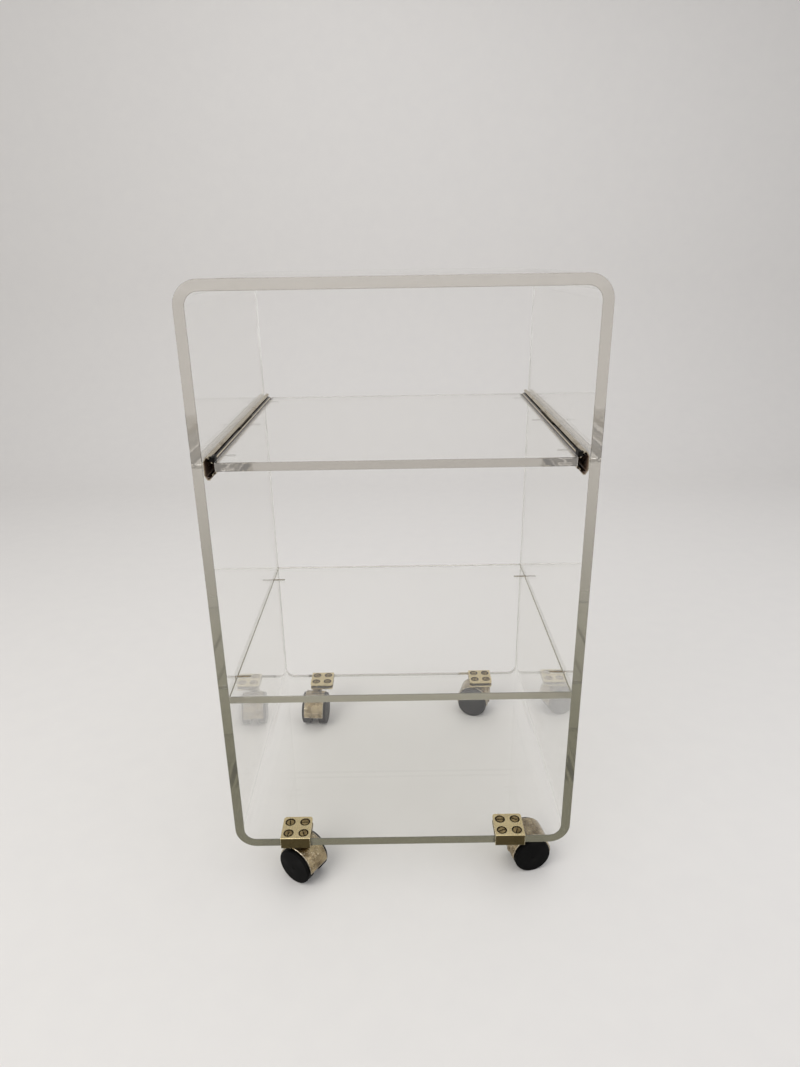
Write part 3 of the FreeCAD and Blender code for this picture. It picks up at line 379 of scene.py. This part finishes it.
# A black moulded block closes the front of each runner and stops the shelf softly.
# It is nylon with a fine spark-eroded grain, rubbed smoother where hands catch it.
def moulded_nylon(name, colour, worn, rough, grain, shine):
    """Nylon with a moulded grain in mm, and paler, smoother patches where it is rubbed."""
    material, tree, shader, grid = begin(name)
    rub = add(tree, "ShaderNodeTexNoise", {"Vector": grid, "Scale": 1 / 12, "Detail": 5})
    wear = add(tree, "ShaderNodeMapRange", {"Value": rub.outputs["Fac"], "From Min": 0.45,
                                            "From Max": 0.75}).outputs["Result"]
    shade = add(tree, "ShaderNodeMix", {"Factor": wear, "A": linear(colour), "B": linear(worn)},
                data_type="RGBA")
    tree.links.new(shade.outputs["Result"], shader.inputs["Base Color"])
    gloss = add(tree, "ShaderNodeMapRange", {"Value": wear, "To Min": rough,
                                             "To Max": rough - 0.15})
    tree.links.new(gloss.outputs["Result"], shader.inputs["Roughness"])
    # Spark erosion leaves a grain of about a tenth of a millimetre, drawn coarser so that it shows
    speck = add(tree, "ShaderNodeTexNoise", {"Vector": grid, "Scale": 1 / grain, "Detail": 2})
    bump = add(tree, "ShaderNodeBump", {"Height": speck.outputs["Fac"], "Strength": 0.15,
                                        "Distance": 0.0002})
    tree.links.new(bump.outputs["Normal"], shader.inputs["Normal"])
    shader.inputs["IOR"].default_value = 1.53
    shader.inputs["Specular IOR Level"].default_value = shine
    return material


# The blocks look soft black, with hardly any shine
buffer_nylon = moulded_nylon("black moulded nylon", "#0A0908", "#171410", rough=0.5, grain=0.6,
                             shine=0.08)
for side in sides:
    dress(buffer_nylon, f"stop_buffer_{side}")


# Slotted countersunk screws hold the fixed shelf and the slides to the side panels.
# They are turned brass, tarnished in patches, and gleam a soft brown through the clear sheet.
screw_brass = worked_metal("tarnished turned brass", bright="#8F7B5C", dull="#4E3E2A", patch=5,
                           share=0.45, smooth=0.25, rough=0.5, grain=(2, 2, 2), depth=0.15)[0]
for side in sides:
    dress(screw_brass, f"shelf_screws_{side}", f"slide_screws_{side}")


# Each clip is a brass strip folded round the panel's edge and held by four slotted screws.
# It is satin polished along its length, and painted shade darkens its countersinks and slots.
corners = ("front_left", "front_right", "rear_left", "rear_right")


def worn_and_highlit_edges(tree, shader, colour, reach, amount, code):
    """Show paler metal within a reach, in metres, of the sharp edges: wear, with a painted
    highlight.
    """
    surface = add(tree, "ShaderNodeNewGeometry").outputs["True Normal"]
    rounded = add(tree, "ShaderNodeBevel", {"Radius": reach}, samples=6)
    match = add(tree, "ShaderNodeVectorMath", {0: rounded.outputs["Normal"], 1: surface},
                operation="DOT_PRODUCT")
    bare = add(tree, "ShaderNodeMapRange", {"Value": match.outputs["Value"], "From Min": 0.99,
                                            "From Max": 0.90, "To Max": amount})
    return overlay(tree, shader, colour, bare.outputs["Result"], code)


def shaded_countersinks(tree, shader, colour, low, high, head_width):
    """Black-brown painted shade round every screw of the clips, placed from the box of one clip's
    four.
    """
    middle = (low + high) / 2
    spacing = (high.x - low.x - head_width) / 2
    place = add(tree, "ShaderNodeTexCoord").outputs["Object"]
    # Two folds, about the trolley's middle and then a clip's, lay all sixteen screws on one
    arm = add(tree, "ShaderNodeVectorMath", {0: place}, operation="ABSOLUTE")
    arm = add(tree, "ShaderNodeVectorMath", {0: arm.outputs["Vector"],
                                             1: (abs(middle.x), abs(middle.y), 0)},
              operation="SUBTRACT")
    arm = add(tree, "ShaderNodeVectorMath", {0: arm.outputs["Vector"]}, operation="ABSOLUTE")
    arm = add(tree, "ShaderNodeVectorMath", {0: arm.outputs["Vector"], 1: (spacing, spacing, 0)},
              operation="SUBTRACT")
    arm = add(tree, "ShaderNodeVectorMath", {0: arm.outputs["Vector"], 1: (1, 1, 0)},
              operation="MULTIPLY")
    distance = add(tree, "ShaderNodeVectorMath", {0: arm.outputs["Vector"]},
                   operation="LENGTH").outputs["Value"]
    # The painted shade reaches this far either side of a head's rim
    shade_reach = 0.0009
    inner = head_width / 2 - shade_reach
    outer = head_width / 2 + shade_reach
    past = add(tree, "ShaderNodeMapRange", {"Value": distance, "From Min": inner - 0.0003,
                                            "From Max": inner})
    short = add(tree, "ShaderNodeMapRange", {"Value": distance, "From Min": outer,
                                             "From Max": outer - 0.0002})
    ring = add(tree, "ShaderNodeMath", {0: past.outputs["Result"], 1: short.outputs["Result"]},
               operation="MULTIPLY")
    return overlay(tree, shader, colour, ring.outputs[0], "#20170D")


head_width = 0.012
screws_low, screws_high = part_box("clip_screws_front_left")
# The strip looks pale gold, with soft highlights drawn out along it
clip_brass, tree, shader, colour = worked_metal("satin brass strip", bright="#DECEA3",
                                                dull="#B4A47F", patch=18, share=0.5, smooth=0.22,
                                                rough=0.36, grain=(1 / 25, 2, 2), depth=0.15)
# The web at the fold, past the panel's edge, is painted dark olive: a painted reflection of
# the dark floor
past_edge = shell_high.y + 0.001
normal = add(tree, "ShaderNodeNewGeometry").outputs["True Normal"]
facing = add(tree, "ShaderNodeSeparateXYZ", {"Vector": normal})
facing = add(tree, "ShaderNodeMath", {0: facing.outputs["Y"]}, operation="ABSOLUTE")
upright = add(tree, "ShaderNodeMapRange", {"Value": facing.outputs[0], "From Min": 0.8,
                                           "From Max": 0.98, "To Max": 0.95})
place = add(tree, "ShaderNodeTexCoord").outputs["Object"]
out = add(tree, "ShaderNodeSeparateXYZ", {"Vector": place})
out = add(tree, "ShaderNodeMath", {0: out.outputs["Y"]}, operation="ABSOLUTE")
beyond = add(tree, "ShaderNodeMath", {0: out.outputs[0], 1: past_edge}, operation="GREATER_THAN")
web_floor_reflection = add(tree, "ShaderNodeMath", {0: upright.outputs["Result"], 1: beyond.outputs[0]},
          operation="MULTIPLY")
colour = overlay(tree, shader, colour, web_floor_reflection.outputs[0], "#40361C")
# Its sharp edges are paler, partly wear and partly a painted highlight
colour = worn_and_highlit_edges(tree, shader, colour, reach=0.0009, amount=0.9, code="#FFF3CF")
shaded_countersinks(tree, shader, colour, screws_low, screws_high, head_width)
# The heads look browner than the strip, with painted shade in their slots
head_brass, tree, shader, colour = worked_metal("browned brass screw", bright="#A8966C",
                                                dull="#66543A", patch=4, share=0.4, smooth=0.28,
                                                rough=0.45, grain=(2, 2, 2), depth=0.15)
colour = shaded_countersinks(tree, shader, colour, screws_low, screws_high, head_width)
# All that lies below the tops of the heads is slot or shank, and is painted dark as shade
place = add(tree, "ShaderNodeTexCoord").outputs["Object"]
height = add(tree, "ShaderNodeSeparateXYZ", {"Vector": place})
sunk_shade = add(tree, "ShaderNodeMapRange", {"Value": height.outputs["Z"],
                                        "From Min": screws_high.z - 0.0001,
                                        "From Max": screws_high.z - 0.0004})
overlay(tree, shader, colour, sunk_shade.outputs["Result"], "#1C140C")
for corner in corners:
    dress(clip_brass, f"clip_{corner}")
    dress(head_brass, f"clip_screws_{corner}")


# A twin-wheel caster turns on a steel pintle under each clip, below a thrust washer.
# Its hood is cast brass, once polished, now browned and scratched by knocks.
# The hood still mirrors the room in its smooth patches, and looks satin and brown between them
hood_brass, tree, shader, colour = worked_metal("aged polished brass", bright="#AF9F7F",
                                                dull="#65563E", patch=11, share=0.40, smooth=0.14,
                                                rough=0.38, grain=(1 / 6, 1.4, 1.4), depth=0.2)
# Scratches lean three ways across it and bare paler metal, half a millimetre wide so that they
# show, and their grid counts its cells to the metre, along and across
scratch_grid = (9, 700, 700)
place = add(tree, "ShaderNodeTexCoord").outputs["Object"]
for lean_x, lean_z in ((40, 15), (-55, 70), (10, -35)):
    line_grid = add(tree, "ShaderNodeMapping", {"Vector": place, "Scale": scratch_grid,
                                                "Rotation": (radians(lean_x), 0, radians(lean_z))})
    lines = add(tree, "ShaderNodeTexNoise", {"Vector": line_grid.outputs["Vector"], "Scale": 1,
                                             "Detail": 1})
    scratch = add(tree, "ShaderNodeMapRange", {"Value": lines.outputs["Fac"], "From Min": 0.68,
                                               "From Max": 0.74, "To Max": 0.6})
    colour = overlay(tree, shader, colour, scratch.outputs["Result"], "#F4ECD8")
# The hood's sharp edges and rims are paler, partly wear and partly a painted highlight
worn_and_highlit_edges(tree, shader, colour, reach=0.0011, amount=0.9, code="#FBF4E2")
# Turned steel looks bright and cool beside the brass, with fine rings
turned_steel = worked_metal("bright turned steel", bright="#C8C5BE", dull="#8A847A", patch=6,
                            share=0.45, smooth=0.2, rough=0.4, grain=(1, 1, 3), depth=0.1)[0]
# The wheels look flat black, with a faint grey sheen where they are rubbed
wheel_nylon = moulded_nylon("black nylon wheel", "#040404", "#0B0A0A", rough=0.5, grain=0.8,
                            shine=0.06)
for corner in corners:
    dress(hood_brass, f"hood_{corner}")
    dress(turned_steel, f"pintle_{corner}", f"thrust_washer_{corner}", f"pintle_ring_{corner}",
          f"axle_{corner}")
    dress(wheel_nylon, f"wheel_a_{corner}", f"wheel_b_{corner}")
